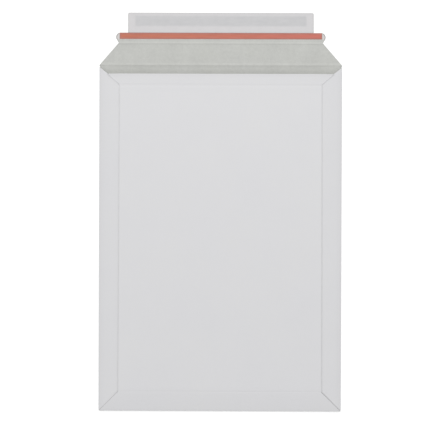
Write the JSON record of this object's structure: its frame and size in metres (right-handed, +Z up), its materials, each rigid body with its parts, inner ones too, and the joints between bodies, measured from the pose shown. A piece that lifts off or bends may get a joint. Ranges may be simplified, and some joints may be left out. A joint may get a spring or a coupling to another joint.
{
  "type": "rigid cardboard envelope",
  "caption": "White board-backed postal envelope lying open, with mitred side flaps, glued front panel, hinged closing flap, tear tape and peel-off sealing strip.",
  "frame": {"origin": "under the middle of the opened envelope, on the surface that it lies on", "axes": "+Z up out of the front panel, +Y from the bottom fold towards the closing flap, X across the envelope"},
  "size_m": [0.234, 0.3844, 0.0061],
  "materials": {
    "coated_board": "white clay-coated solid board, matt with a slight sheen",
    "grey_board": "uncoated grey recycled board, matt and fibrous",
    "dried_glue": "dried dispersion glue film",
    "red_tape": "translucent red plastic tear tape",
    "clear_adhesive": "clear hot-melt adhesive, tacky and glossy",
    "liner_paper": "thin white silicone-coated release paper"
  },
  "bodies": {
    "pocket": {"folded_pocket": "coated_board", "seam_glue_left": "dried_glue", "seam_glue_right": "dried_glue"},
    "flap": {"closing_flap": "grey_board", "tear_tape": "red_tape", "adhesive_strip": "clear_adhesive", "release_liner": "liner_paper"}
  },
  "joints": [
    {"name": "flap_crease", "type": "hinge", "parent": "pocket", "child": "flap", "pos_m": [0, 0.1418, 0.0036], "axis": [1, 0, 0], "range_deg": [0, 180]}
  ]
}
